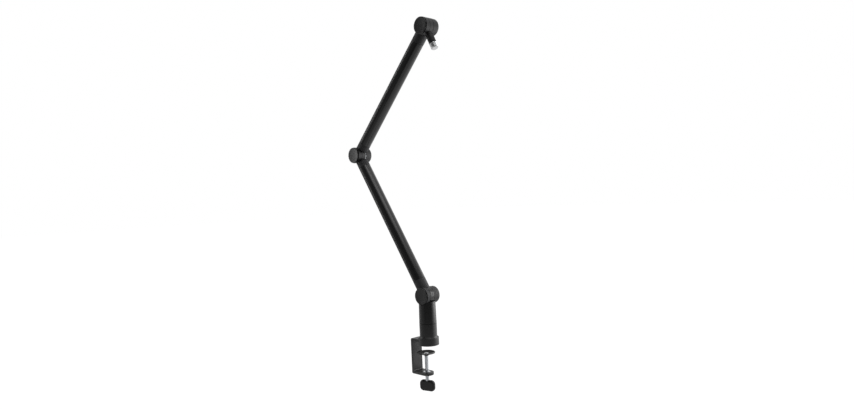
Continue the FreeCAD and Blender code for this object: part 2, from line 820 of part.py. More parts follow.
jaw = turned("jaw_cup", [
    ("post_radius + part_fit", "pad_thick"),
    ("pad_dia / 2 + part_fit", "pad_thick"),
    ("pad_dia / 2 + part_fit", "jaw_lip"),
    ("jaw_dia / 2", "jaw_lip"),
    ("jaw_dia / 2", "jaw_height"),
    ("post_radius + part_fit", "jaw_height"),
])
soften(jaw, "jaw_rounding", lambda edge: is_circle(edge, value("jaw_dia") / 2, value("jaw_height")))
bore(jaw, "strap_width / 2 + part_fit", "strap_thick", ("0", "0", "pad_thick"))
slot(jaw, ("-jaw_dia", "-strap_width / 2 - part_fit", "pad_thick"),
     ("jaw_dia", "strap_width + 2 * part_fit", "strap_thick"))
for across, back, foot in JAW_SCREWS:
    bore(jaw, "jaw_screw_dia / 2", "jaw_screw_depth + strap_thick", (across, back, foot))
keep(jaw)

pad = new_body("jaw_pad")
add_rod(pad, "pad_dia / 2", "pad_thick")
keep(pad)

insert = turned("spindle_insert", [
    ("spindle_dia / 2 + running_fit", "floor_under"),
    ("insert_dia / 2", "floor_under"),
    ("insert_dia / 2", "floor_top"),
    ("insert_flange_dia / 2", "floor_top"),
    ("insert_flange_dia / 2", "floor_top + insert_flange"),
    ("spindle_dia / 2 + running_fit", "floor_top + insert_flange"),
])
place(keep(insert), ("-spindle_offset", "0", "0"))

plate = turned("pressure_plate", [
    ("tip_dia / 2 + running_fit", "boss_under"),
    ("plate_boss_dia / 2", "boss_under"),
    ("plate_boss_dia / 2", "plate_under"),
    ("plate_foot_dia / 2", "plate_under"),
    ("plate_dia / 2", "plate_top - plate_rim_height"),
    ("plate_dia / 2", "plate_top"),
    ("plate_dia / 2 - plate_rim", "plate_top"),
    ("plate_dia / 2 - plate_rim", "plate_top - plate_rim_height"),
    ("clip_dia / 2 + plate_rim", "mouth_floor"),
    ("tip_dia / 2 + running_fit", "mouth_floor"),
])
place(keep(plate), ("-spindle_offset", "0", "0"))

clip_floor = "mouth_floor + running_fit"
spindle = turned("clamp_spindle", [
    ("0", "knob_top - spindle_seat"),
    ("spindle_dia / 2", "knob_top - spindle_seat"),
    ("spindle_dia / 2", "boss_under - running_fit"),
    ("tip_dia / 2", "boss_under - running_fit"),
    ("tip_dia / 2", clip_floor),
    ("tip_dia / 2 - clip_groove_depth", clip_floor),
    ("tip_dia / 2 - clip_groove_depth", clip_floor + " + clip_thick"),
    ("tip_dia / 2", clip_floor + " + clip_thick"),
    ("tip_dia / 2", clip_floor + " + 2 * clip_thick"),
    ("0", clip_floor + " + 2 * clip_thick"),
])
place(keep(spindle), ("-spindle_offset", "0", "0"))

clip = new_body("plate_clip")
add_rod(clip, "clip_dia / 2", "clip_thick")
bore(clip, "tip_dia / 2 - clip_groove_depth", "clip_thick")
place(keep(clip), ("-spindle_offset", "0", clip_floor))

knob = new_body("spindle_knob")
knob_side = outline(knob, "XZ_Plane", [
    ("-knob_length / 2", "-knob_height"),
    ("knob_length / 2", "-knob_height"),
    ("knob_length / 2", "0"),
    ("-knob_length / 2", "0"),
])
paddle = knob.newObject("PartDesign::Pad", "Paddle")
paddle.Profile = knob_side
paddle.Midplane = True
bind(paddle, "Length", "knob_thick")


def through_paddle(edge):
    """Whether an edge is one of the paddle's four corners."""
    ends = [vertex.Point for vertex in edge.Vertexes]
    return len(ends) == 2 and abs(ends[0].y - ends[1].y) > 1


def paddle_rim(edge):
    """Whether an edge lies in one of the paddle's two broad faces."""
    half = value("knob_thick") / 2
    broad = all(abs(abs(vertex.Point.y) - half) < 1e-4 for vertex in edge.Vertexes)
    return broad and not through_paddle(edge)


soften(knob, "knob_corner", through_paddle)
soften(knob, "knob_rounding", paddle_rim)
bore(knob, "spindle_dia / 2", "spindle_seat", ("0", "0", "-spindle_seat"))
knob.Placement = FreeCAD.Placement(FreeCAD.Vector(), FreeCAD.Rotation(FreeCAD.Vector(0, 0, 1), 1))
bind(knob, "Placement.Base.x", "-spindle_offset")
bind(knob, "Placement.Base.z", "knob_top")
bind(knob, "Placement.Rotation.Angle", "knob_turn")
keep(knob)


# Microphone head: a tongue with a neck, and the threaded adapter on its pilot.

stud = turned("mic_stud", [
    ("0", "0"),
    ("stud_neck_dia / 2", "0"),
    ("stud_neck_dia / 2", "stud_reach"),
    ("stud_pilot_dia / 2", "stud_reach"),
    ("stud_pilot_dia / 2", "stud_reach + stud_pilot_length"),
    ("0", "stud_reach + stud_pilot_length"),
])
make_tongue(stud)
place(keep(stud), HEAD, lean="180 - stud_lean")

adapter = turned("thread_adapter", [
    ("stud_pilot_dia / 2", "0"),
    ("adapter_dia / 2 - adapter_chamfer", "0"),
    ("adapter_dia / 2 - adapter_chamfer", "adapter_relief"),
    ("adapter_dia / 2", "adapter_relief + adapter_chamfer"),
    ("adapter_dia / 2", "adapter_length - adapter_chamfer"),
    ("adapter_dia / 2 - adapter_chamfer", "adapter_length"),
    ("stud_pilot_dia / 2", "adapter_length"),
])
stud_turn = "(180 - stud_lean)"
place(keep(adapter), along(HEAD, stud_turn, "stud_reach"), lean="180 - stud_lean")


# Build, test every object, and write one file for each node.

doc.recompute()
broken = [item.Name for item in doc.Objects if {"Invalid", "Error"} & set(item.State)]
if broken:
    raise RuntimeError("objects that failed: " + ", ".join(broken))
labels = [piece.Label for piece in nodes]
if len(set(labels)) != len(labels):
    raise RuntimeError("two nodes share a label")
for piece in nodes:
    if piece.Shape.isNull() or not piece.Shape.isValid():
        raise RuntimeError("not a valid shape: " + piece.Label)

os.makedirs("parts", exist_ok=True)
for piece in nodes:
    piece.Shape.exportStep("parts/%s.step" % piece.Label)
print(len(nodes), "nodes written")
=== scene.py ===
import json
import math

import bmesh
import bpy
from mathutils import Matrix, Vector


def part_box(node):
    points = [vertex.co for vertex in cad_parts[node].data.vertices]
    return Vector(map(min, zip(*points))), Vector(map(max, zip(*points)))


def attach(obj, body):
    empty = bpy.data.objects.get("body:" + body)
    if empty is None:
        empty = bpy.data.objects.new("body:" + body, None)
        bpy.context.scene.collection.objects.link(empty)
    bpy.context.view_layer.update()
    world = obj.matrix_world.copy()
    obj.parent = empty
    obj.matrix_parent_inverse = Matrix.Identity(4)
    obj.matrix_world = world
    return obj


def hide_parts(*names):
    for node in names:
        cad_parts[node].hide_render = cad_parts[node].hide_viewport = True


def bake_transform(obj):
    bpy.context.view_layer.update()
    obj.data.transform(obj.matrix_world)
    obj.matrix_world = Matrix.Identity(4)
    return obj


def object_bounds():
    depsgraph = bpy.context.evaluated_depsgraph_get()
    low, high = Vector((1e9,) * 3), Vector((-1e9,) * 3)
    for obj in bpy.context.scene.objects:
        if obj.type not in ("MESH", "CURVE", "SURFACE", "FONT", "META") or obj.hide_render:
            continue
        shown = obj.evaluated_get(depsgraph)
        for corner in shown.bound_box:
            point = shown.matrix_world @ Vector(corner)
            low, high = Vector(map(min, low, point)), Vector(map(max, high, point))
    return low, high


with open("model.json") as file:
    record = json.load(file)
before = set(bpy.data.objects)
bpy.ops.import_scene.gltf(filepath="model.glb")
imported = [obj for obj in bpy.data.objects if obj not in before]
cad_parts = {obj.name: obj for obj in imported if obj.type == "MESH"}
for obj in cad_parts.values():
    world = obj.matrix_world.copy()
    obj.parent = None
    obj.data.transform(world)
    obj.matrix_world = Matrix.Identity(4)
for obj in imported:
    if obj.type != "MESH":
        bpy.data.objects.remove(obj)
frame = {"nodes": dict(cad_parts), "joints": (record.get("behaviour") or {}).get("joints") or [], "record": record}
nodes = frame["nodes"]
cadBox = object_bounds()
print("frame:", len(nodes), "nodes")

# places that the frame gives: the hinges, the clamp screw's axis, and the ways of the arms and the stud
joints = {joint["name"]: joint for joint in frame["joints"]}
mounts = {mount["name"]: mount for mount in frame["record"]["mounts"]}
hinges = {
    "shoulder": Vector(joints["shoulder_tilt"]["pos_m"]),
    "elbow": Vector(joints["elbow_fold"]["pos_m"]),
    "head": Vector(joints["head_tilt"]["pos_m"]),
}
screwFoot = Vector((joints["spindle_turn"]["pos_m"][0], 0, 0))
armWays = {
    "lower": (hinges["elbow"] - hinges["shoulder"]).normalized(),
    "upper": (hinges["head"] - hinges["elbow"]).normalized(),
}
studWay = Vector(mounts["mic_thread"]["axis"]).normalized()
millimetre = 0.001  # in metres


def linear(hexText):
    channels = [int(hexText[i:i + 2], 16) / 255 for i in (1, 3, 5)]
    return [c / 12.92 if c <= 0.04045 else ((c + 0.055) / 1.055) ** 2.4 for c in channels] + [1]


def perMetre(millimetres):
    return 1 / (millimetres * millimetre)  # texture scale for a pattern of this size


def addNode(tree, kind, settings=(), values=(), links=()):
    node = tree.nodes.new(kind)
    for name, value in dict(settings).items():
        setattr(node, name, value)
    for socket, value in dict(values).items():
        node.inputs[socket].default_value = value
    for socket, source in dict(links).items():
        tree.links.new(source, node.inputs[socket])
    return node


# camera: the photograph's place, solved from the three hinges and the tube edges
camera = {"place": (0.9723, -0.95186, 0.32056), "azimuth": 45.24, "tilt": -1.153, "roll": -2.5,
          "focalPixels": 650, "frameWidth": 854, "sensor": 36}

turn, tilt, roll = (math.radians(camera[key]) for key in ("azimuth", "tilt", "roll"))
forward = Vector((-math.sin(turn) * math.cos(tilt), math.cos(turn) * math.cos(tilt), math.sin(tilt)))
level = Vector((math.cos(turn), math.sin(turn), 0))
upright = level.cross(forward)
right = level * math.cos(roll) + upright * math.sin(roll)
upward = upright * math.cos(roll) - level * math.sin(roll)
lens = bpy.data.cameras.new("photoCamera")
lens.sensor_width = camera["sensor"]
lens.lens = camera["focalPixels"] / camera["frameWidth"] * camera["sensor"]
photoCamera = bpy.data.objects.new("photoCamera", lens)
photoCamera.matrix_world = Matrix((right, upward, -forward)).transposed().to_4x4()
photoCamera.location = camera["place"]
bpy.context.scene.collection.objects.link(photoCamera)
bpy.context.scene.camera = photoCamera
bpy.context.scene.view_settings.view_transform = "Standard"
print("camera: placed")

# studio: white surroundings, soft boxes beside and above the arm, and cards that only reflections show;
# bearings are degrees round the column from the camera, to the right, and lengths are metres
studio = {
    "ambient": 0.4,
    "floor": "#7c7c7c",
    "floorGlow": 0.94,
    "floorSize": 30,
    "floorDrop": 0.16,  # below the clamp screw's knob, because the arm can hang past it
    "tableDrop": 0.0005,  # the cards stand at this depth
    "cardStep": 8,  # degrees between the flats of a curved card
    "lampShare": 4,  # an area lamp's power for each unit of radiance and area
}
lamps = {
    "rightBox": {"bearing": 108, "distance": 1.0, "height": 0.3, "size": (0.72, 0.78), "radiance": 3.0},
    "leftBox": {"bearing": -100, "distance": 1.9, "height": 0.3, "size": (0.6, 1.6), "radiance": 0.5},
    "topBox": {"bearing": 30, "distance": 0.6, "height": 2.3, "size": (1.4, 1.4), "radiance": 1.4},
}
cards = {  # bearings, the distance and height of each fold, and how bright a reflection finds the card
    "leftTable": {"from": -150, "to": -50, "folds": ((0.22, 0), (1.35, 0)), "glow": 0.5},
    "leftSkirt": {"from": -150, "to": -85, "folds": ((1.35, 0), (2.4, 0), (2.4, 0.32)), "glow": 0.2},
    "leftWall": {"from": -150, "to": -85, "folds": ((2.4, 0.32), (2.4, 1.0)), "glow": 0.3},
    "leftTop": {"from": -150, "to": -85, "folds": ((2.4, 1.0), (2.4, 3.1)), "glow": 0.25},
    "leftStrip": {"from": -116, "to": -107, "folds": ((2.3, 0), (2.3, 2.2)), "glow": 3.2},
    "cornerWall": {"from": -85, "to": -50, "folds": ((1.35, 0), (2.4, 0), (2.4, 3.1)), "glow": 0.2},
    "frontTable": {"from": -50, "to": 66, "folds": ((0.22, 0), (0.6, 0)), "glow": 0.75},
    "frontWall": {"from": -50, "to": 66, "folds": ((0.6, 0), (2.4, 0), (2.4, 3.1)), "glow": 0.12},
}
white = (1, 1, 1, 1)


def seenDirectly(tree):
    rays = addNode(tree, "ShaderNodeLightPath")
    seen = addNode(tree, "ShaderNodeMath", {"operation": "MAXIMUM"},
                   links={0: rays.outputs["Is Camera Ray"], 1: rays.outputs["Is Glossy Ray"]})
    return addNode(tree, "ShaderNodeMath", {"operation": "MAXIMUM"},
                   links={0: seen.outputs[0], 1: rays.outputs["Is Transmission Ray"]}).outputs[0]


def emptyMaterial(name):
    material = bpy.data.materials.new(name)
    material.use_nodes = True
    material.node_tree.nodes.clear()
    return material, material.node_tree


def towards(bearing):
    angle = turn + math.radians(bearing)
    return Vector((math.sin(angle), -math.cos(angle), 0))


def addSheet(name, corners, faces, material):
    mesh = bpy.data.meshes.new(name)
    mesh.from_pydata(corners, [], faces)
    mesh.materials.append(material)
    sheet = bpy.data.objects.new(name, mesh)
    bpy.context.scene.collection.objects.link(sheet)
    return sheet


world = bpy.data.worlds.new("whiteStudio")
bpy.context.scene.world = world
world.use_nodes = True
tree = world.node_tree
tree.nodes.clear()
strength = addNode(tree, "ShaderNodeMapRange", values={"To Min": studio["ambient"], "To Max": 1},
                   links={"Value": seenDirectly(tree)})
glow = addNode(tree, "ShaderNodeBackground", values={"Color": white},
               links={"Strength": strength.outputs[0]})
addNode(tree, "ShaderNodeOutputWorld", links={"Surface": glow.outputs[0]})

paper, tree = emptyMaterial("mattWhitePaper")  # reads white, and only shadows grey it
strength = addNode(tree, "ShaderNodeMath", {"operation": "MULTIPLY"}, {1: studio["floorGlow"]},
                   {0: seenDirectly(tree)})
shade = addNode(tree, "ShaderNodeBsdfDiffuse", values={"Color": linear(studio["floor"])})
glow = addNode(tree, "ShaderNodeEmission", values={"Color": white}, links={"Strength": strength.outputs[0]})
both = addNode(tree, "ShaderNodeAddShader", links={0: shade.outputs[0], 1: glow.outputs[0]})
addNode(tree, "ShaderNodeOutputMaterial", links={"Surface": both.outputs[0]})
half = studio["floorSize"] / 2
under = cadBox[0].z - studio["floorDrop"]
floorCorners = [(-half, -half, under), (half, -half, under), (half, half, under), (-half, half, under)]
addSheet("floor", floorCorners, [(0, 1, 2, 3)], paper)

middle = (cadBox[0] + cadBox[1]) / 2
for name, lamp in lamps.items():
    light = bpy.data.lights.new(name, "AREA")
    light.shape = "RECTANGLE"
    light.size, light.size_y = lamp["size"]
    light.energy = lamp["radiance"] * light.size * light.size_y * studio["lampShare"]
    box = bpy.data.objects.new(name, light)
    box.location = towards(lamp["bearing"]) * lamp["distance"] + Vector((0, 0, lamp["height"]))
    box.rotation_euler = (middle - box.location).to_track_quat("-Z", "Y").to_euler()
    box.visible_camera = False
    bpy.context.scene.collection.objects.link(box)

table = cadBox[0].z - studio["tableDrop"]
for name, card in cards.items():
    board, tree = emptyMaterial(name + "Board")
    glow = addNode(tree, "ShaderNodeEmission", values={"Strength": card["glow"]})
    addNode(tree, "ShaderNodeOutputMaterial", links={"Surface": glow.outputs[0]})
    arc = card["to"] - card["from"]
    steps = round(arc / studio["cardStep"])
    rows = len(card["folds"])
    corners = []
    for step in range(steps + 1):
        way = towards(card["from"] + arc * step / steps)
        corners += [way * distance + Vector((0, 0, table + height)) for distance, height in card["folds"]]
    starts = [rows * step + row for step in range(steps) for row in range(rows - 1)]
    faces = [(start, start + 1, start + rows + 1, start + rows) for start in starts]
    sheet = addSheet(name, corners, faces, board)
    for rayKind in ("camera", "diffuse", "transmission", "volume_scatter", "shadow"):
        setattr(sheet, "visible_" + rayKind, False)
print("studio: floor,", len(cards), "cards and", len(lamps), "lamps")

# finishes: the colours that the surface wanders between, its range of roughness, the grain's real size in
# millimetres and its relief, and the record's slot that a new piece of this finish belongs to
finishes = {
    # extruded aluminium, blasted and black anodised: satin, with faint die lines along the tube
    "anodisedAluminium": {"dark": "#0e0e0f", "pale": "#141415", "rough": (0.20, 0.25), "grain": 0.125,
                          "relief": 0.03, "stretch": 40, "slot": "black_anodised"},
    # ABS, extruded: a little duller than the tube it closes
    "extrudedAbs": {"dark": "#0f0f10", "pale": "#161617", "rough": (0.36, 0.43), "grain": 0.15,
                    "relief": 0.03, "stretch": 25, "slot": "cover_plastic"},
    # glass-filled nylon, moulded: dark, with a soft sheen
    "mouldedNylon": {"dark": "#0f0f10", "pale": "#161617", "rough": (0.36, 0.44), "grain": 0.15,
                     "relief": 0.03, "slot": "jaw_plastic"},
    # nylon, moulded in a polished tool: black, its rim bright at a glancing angle
    "polishedNylon": {"dark": "#0d0d0e", "pale": "#131314", "rough": (0.18, 0.24), "grain": 0.15,
                      "relief": 0.01, "slot": "jaw_plastic"},
    # nylon with a soft-touch coat, sprayed: black and barely shining
    "softTouchNylon": {"dark": "#0c0c0d", "pale": "#121213", "rough": (0.5, 0.6), "grain": 0.075,
                       "relief": 0.04, "specular": 0.3, "slot": "jaw_plastic"},
    # aluminium casting, fine powder coat: matt and even
    "coatedCasting": {"dark": "#18181a", "pale": "#202022", "rough": (0.56, 0.64), "grain": 0.06,
                      "relief": 0.05, "slot": "black_casting"},
    # turned aluminium, sprayed satin black: smooth and deep, with bright edges
    "satinPaint": {"dark": "#09090a", "pale": "#0e0e0f", "rough": (0.27, 0.33), "grain": 0.2,
                   "relief": 0.02, "slot": "column_paint"},
    # ABS, moulded in a lightly etched tool: even, with a sheen that follows the dish
    "mouldedAbs": {"dark": "#131314", "pale": "#1b1b1c", "rough": (0.24, 0.28), "grain": 0.07,
                   "relief": 0.015, "slot": "cap_plastic"},
    # ABS, moulded in a sand-blasted tool: duller than the caps it faces
    "grainedAbs": {"dark": "#161617", "pale": "#1e1e1f", "rough": (0.5, 0.58), "grain": 0.07,
                   "relief": 0.05, "slot": "cap_plastic"},
    # steel strap, powder coated: soft orange peel
    "powderCoat": {"dark": "#131314", "pale": "#1b1b1c", "rough": (0.42, 0.52), "grain": 0.1,
                   "relief": 0.06, "slot": "strap_paint"},
    # nitrile rubber, moulded: dull black
    "mouldedRubber": {"dark": "#0f0f0f", "pale": "#171717", "rough": (0.7, 0.85), "grain": 0.06,
                      "relief": 0.08, "slot": "pad_rubber"},
    # silicone rubber, moulded smooth: satin black, close to the paint beside it
    "mouldedSilicone": {"dark": "#09090a", "pale": "#0e0e0f", "rough": (0.27, 0.33), "grain": 0.1,
                        "relief": 0.01, "slot": "pad_rubber"},
    # acetal, turned: waxy black
    "turnedAcetal": {"dark": "#101011", "pale": "#171718", "rough": (0.4, 0.5), "grain": 0.1,
                     "relief": 0.02, "slot": "bearing_plastic"},
    # steel, zinc plated: cool grey with a faint cloudy film
    "zincSteel": {"dark": "#babdc0", "pale": "#d8dadc", "rough": (0.30, 0.44), "grain": 0.15,
                  "relief": 0.02, "metal": 1, "slot": "zinc_steel"},
    # spring wire, oil tempered: dark blue-grey metal
    "temperedWire": {"dark": "#4a4c50", "pale": "#66686c", "rough": (0.3, 0.45), "grain": 0.1,
                     "relief": 0.02, "metal": 1, "slot": "spring_steel"},
    # brass, nickel plated: silver with a soft gleam
    "nickelPlate": {"dark": "#b3b4b5", "pale": "#cfd0d0", "rough": (0.20, 0.28), "grain": 0.15,
                    "relief": 0.01, "metal": 1, "slot": "nickel_plate"},
}
grains = {
    "coarser": 20,  # a pixel covers 2 mm, so every grain is drawn this many times as coarse as the real one
    "perCloud": 8,  # grains across one cloud of colour
    "cloudDetail": 4,
    "detail": 3,
    "span": (0.3, 0.7),  # most of the noise lies between these
    "depth": 0.5 * millimetre,
}


def makeFinish(name, finish, lean=0):
    material, tree = emptyMaterial(name)
    place = addNode(tree, "ShaderNodeTexCoord").outputs["Object"]
    if "stretch" in finish:  # lines that run along the arm
        place = addNode(tree, "ShaderNodeMapping", {"vector_type": "TEXTURE"},
                        {"Rotation": (0, lean, 0), "Scale": (1, 1, finish["stretch"])},
                        {"Vector": place}).outputs[0]
    drawn = finish["grain"] * grains["coarser"]
    cloud = addNode(tree, "ShaderNodeTexNoise", links={"Vector": place}, values={
        "Scale": perMetre(drawn * grains["perCloud"]), "Detail": grains["cloudDetail"]})
    grain = addNode(tree, "ShaderNodeTexNoise", links={"Vector": place}, values={
        "Scale": perMetre(drawn), "Detail": grains["detail"]})
    colour = addNode(tree, "ShaderNodeMix", {"data_type": "RGBA"},
                     {"A": linear(finish["dark"]), "B": linear(finish["pale"])}, {"Factor": cloud.outputs[0]})
    rough = addNode(tree, "ShaderNodeMapRange", links={"Value": grain.outputs[0]}, values={
        "From Min": grains["span"][0], "From Max": grains["span"][1],
        "To Min": finish["rough"][0], "To Max": finish["rough"][1]})
    relief = addNode(tree, "ShaderNodeBump", links={"Height": grain.outputs[0]}, values={
        "Strength": finish["relief"], "Distance": grains["depth"]})
    shader = addNode(tree, "ShaderNodeBsdfPrincipled", links={
        "Base Color": colour.outputs["Result"], "Roughness": rough.outputs[0], "Normal": relief.outputs[0]})
    shader.inputs["Metallic"].default_value = finish.get("metal", 0)
    if "specular" in finish:
        shader.inputs["Specular IOR Level"].default_value = finish["specular"]
    addNode(tree, "ShaderNodeOutputMaterial", links={"Surface": shader.outputs[0]})
    return material


materials = {}
for name, finish in finishes.items():
    if "stretch" in finish:
        for side, way in armWays.items():
            sideName = name + side.capitalize()
            materials[sideName] = makeFinish(sideName, finish, math.atan2(way.x, way.z))
    else:
        materials[name] = makeFinish(name, finish)
print("finishes:", len(materials))

dressing = {
    "anodisedAluminiumLower": ("lower_arm_tube",),
    "anodisedAluminiumUpper": ("upper_arm_tube",),
    "extrudedAbsLower": ("lower_cable_cover",),
    "extrudedAbsUpper": ("upper_cable_cover",),
    "mouldedNylon": ("jaw_cup",),
    "polishedNylon": ("pressure_plate",),
    "softTouchNylon": ("spindle_knob",),
    "coatedCasting": ("lower_arm_fork", "lower_arm_knuckle", "upper_arm_fork", "upper_arm_yoke", "mic_stud"),
    "satinPaint": ("column_body", "base_sleeve"),
    "mouldedAbs": tuple(joint + "_cap_left" for joint in hinges),
    "grainedAbs": tuple(joint + "_cap_right" for joint in hinges),
    "powderCoat": ("clamp_strap",),
    "mouldedRubber": ("jaw_pad",),
    "turnedAcetal": ("lower_bush", "upper_bush", "thrust_washer")
                    + tuple(joint + "_washers" for joint in hinges),
    "zincSteel": ("clamp_spindle", "plate_clip", "spindle_insert", "jaw_screws", "post_screw", "swivel_post",
                  "swivel_grub_screw", "lower_tube_screws", "upper_tube_screws", "lower_spring_anchor",
                  "upper_spring_anchor", "shoulder_crank_pin", "elbow_crank_pin")
                 + tuple(joint + kind for joint in hinges for kind in ("_bolt", "_nut")),
    "temperedWire": ("lower_spring", "upper_spring"),
    "nickelPlate": ("thread_adapter",),
}
for name, wearers in dressing.items():
    for wearer in wearers:
        nodes[wearer].data.materials.clear()
        nodes[wearer].data.materials.append(materials[name])
undressed = set(nodes) - {wearer for wearers in dressing.values() for wearer in wearers}
print("dressed:", len(nodes) - len(undressed), "nodes; without a finish:", sorted(undressed))

# pieces: turned and threaded forms in millimetres, each stood on a point with its own Z along a direction
meshing = {"weld": 0.001, "sliver": 0.0005, "sharpEdge": 35}  # millimetres, and degrees for the edge


def standing(point, direction, along=0):
    way = Vector(direction)
    foot = Matrix.Translation(point + way * along * millimetre)
    return foot @ way.to_track_quat("Z", "Y").to_matrix().to_4x4() @ Matrix.Scale(millimetre, 4)


def addRings(form, profile, around):
    rings = []
    for radius, height, *sides in profile:  # a third number makes that ring flat-sided
        if radius == 0:
            rings.append([form.verts.new((0, 0, height))] * around)
            continue
        rings.append([])
        for angle in (math.tau * step / around for step in range(around)):
            reach = radius
            if sides:
                corner = math.pi / sides[0]
                reach *= math.cos(corner) / math.cos(angle % (2 * corner) - corner)
            rings[-1].append(form.verts.new((reach * math.cos(angle), reach * math.sin(angle), height)))
    for low, high in zip(rings, rings[1:]):
        for step in range(around):
            form.faces.new(list(dict.fromkeys((low[step - 1], low[step], high[step], high[step - 1]))))


def addThread(form, thread, around):
    root, crest, start, end = (thread[key] for key in ("root", "crest", "start", "end"))
    tooth = ((0, root), (0.375, crest), (0.5, crest), (0.875, root))  # in shares of the pitch
    turns = math.ceil((end - start) / thread["pitch"]) + 1
    rows = [(count - 1 + part, radius) for count in range(turns + 1) for part, radius in tooth]
    columns = []
    for step in range(around):
        angle = math.tau * step / around
        columns.append([])
        for rise, radius in rows:
            height = start + thread["pitch"] * (rise + step / around)
            if not start < height < end:
                radius = root  # the thread runs out at both ends
            height = min(max(height, start), end)
            columns[-1].append(form.verts.new((radius * math.cos(angle), radius * math.sin(angle), height)))
    for step in range(around):
        near, far = columns[step - 1], columns[step]
        lead = len(tooth) if step == 0 else 0  # the last column meets the first one turn on
        for row in range(len(rows) - 1 - lead):
            form.faces.new((near[row], far[row + lead], far[row + lead + 1], near[row + 1]))


def addPiece(name, form, matrix, body, finish, *replaced):
    bmesh.ops.remove_doubles(form, verts=form.verts, dist=meshing["weld"])
    bmesh.ops.dissolve_degenerate(form, edges=form.edges, dist=meshing["sliver"])
    bmesh.ops.recalc_face_normals(form, faces=form.faces)
    form.transform(matrix)
    mesh = bpy.data.meshes.new(name)
    form.to_mesh(mesh)
    form.free()
    mesh.materials.append(materials[finish])
    mesh.shade_smooth()
    mesh.set_sharp_from_angle(angle=math.radians(meshing["sharpEdge"]))
    thing = bpy.data.objects.new(name, mesh)
    bpy.context.scene.collection.objects.link(thing)
    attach(thing, body)
    if replaced:
        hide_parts(*replaced)


# slightly dished caps on the left of the hinges, behind a shadow groove
cap = {"seat": 14.6, "radius": 17.5, "width": 3.4, "dish": 0.6, "dishRadius": 16.9, "dishSteps": 12,
       "rim": ((16.9, 3.4), (17.3, 3.3), (17.5, 3.0)), "groove": 2.2, "grooveRadius": 13.2, "spigot": 12.95,
       "spigotDepth": 1.2, "hollow": 10, "hollowTop": 1.5, "around": 96,
       "bodies": {"shoulder": "lower_arm", "elbow": "upper_arm", "head": "upper_arm"}}
capProfile = []
for step in range(cap["dishSteps"]):
    share = step / cap["dishSteps"]
    capProfile.append((cap["dishRadius"] * share, cap["width"] - cap["dish"] * (1 - share ** 2)))
capProfile += cap["rim"]
capProfile += [(cap["radius"], cap["groove"]), (cap["grooveRadius"], cap["groove"]), (cap["grooveRadius"], 0),
               (cap["spigot"], 0), (cap["spigot"], -cap["spigotDepth"]), (cap["hollow"], -cap["spigotDepth"]),
               (cap["hollow"], cap["hollowTop"]), (0, cap["hollowTop"])]
for joint, body in cap["bodies"].items():
    form = bmesh.new()
    addRings(form, capProfile, cap["around"])
    place = standing(hinges[joint], (0, -1, 0), cap["seat"])
    addPiece(joint + "DishedCap", form, place, body, "mouldedAbs", joint + "_cap_left")

# clamp screw: a coarse metric thread between the knob and the dish, and a plain tip with its clip groove
screw = {"tip": 2.8, "neck": 2.0, "neckFoot": -20.55, "neckTop": -19.55, "top": -18.55, "shoulder": -23.65,
         "chamfer": 0.7, "around": 40,
         "thread": {"pitch": 1.25, "crest": 4.0, "root": 3.35, "start": -88.5, "end": -24.0}}
root, start, end = (screw["thread"][key] for key in ("root", "start", "end"))
form = bmesh.new()
addRings(form, [(0, start), (root, start)], screw["around"])
addThread(form, screw["thread"], screw["around"])
addRings(form, [(root, end), (root, screw["shoulder"]), (screw["tip"], screw["shoulder"]),
                (screw["tip"], screw["neckFoot"]), (screw["neck"], screw["neckFoot"]),
                (screw["neck"], screw["neckTop"]), (screw["tip"], screw["neckTop"]),
                (screw["tip"], screw["top"] - screw["chamfer"]),
                (screw["tip"] - screw["chamfer"], screw["top"]), (0, screw["top"])], screw["around"])
addPiece("threadedScrew", form, standing(screwFoot, (0, 0, 1)), "spindle", "zincSteel", "clamp_spindle")
print("clamp screw: threaded")

# microphone adapter: a fine thread with a closed, chamfered end
adapter = {"reach": 36, "bore": 4.75, "collar": 6.94, "collarTop": 5.8, "end": 18, "endRadius": 6.6,
           "around": 64, "thread": {"pitch": 0.941, "crest": 7.9375, "root": 7.36, "start": 6.2, "end": 16.8}}
root, start, end = (adapter["thread"][key] for key in ("root", "start", "end"))
form = bmesh.new()
addRings(form, [(adapter["bore"], 0), (adapter["collar"], 0), (adapter["collar"], adapter["collarTop"]),
                (root, start)], adapter["around"])
addThread(form, adapter["thread"], adapter["around"])
addRings(form, [(root, end), (adapter["endRadius"], adapter["end"]), (0, adapter["end"])], adapter["around"])
place = standing(hinges["head"], studWay, adapter["reach"])
addPiece("threadedAdapter", form, place, "mic_head", "nickelPlate", "thread_adapter")
print("adapter: threaded")

# collar: a moulded sleeve over the stud's neck and the thread's first turns
collar = {"around": 64, "profile": ((6.5, 20.6), (6.9, 20.7), (7.6, 21.4), (7.8, 22.2),
                                    (7.8, 40.7), (7.6, 41.6), (7.2, 42.0), (6.5, 42.0))}
form = bmesh.new()
addRings(form, collar["profile"], collar["around"])
addPiece("studCollar", form, standing(hinges["head"], studWay), "mic_head", "softTouchNylon")
print("collar: on the stud")

# liner: a rubber facing in the dish
liner = {"around": 80, "profile": ((6.2, -20.5), (6.2, -20.0), (7.0, -19.85), (16.4, -18.55), (17.1, -18.3),
                                   (17.1, -18.8), (7.0, -20.4))}
form = bmesh.new()
addRings(form, liner["profile"] + liner["profile"][:1], liner["around"])
addPiece("dishLiner", form, standing(screwFoot, (0, 0, 1)), "plate", "mouldedRubber")
print("liner: in the dish")

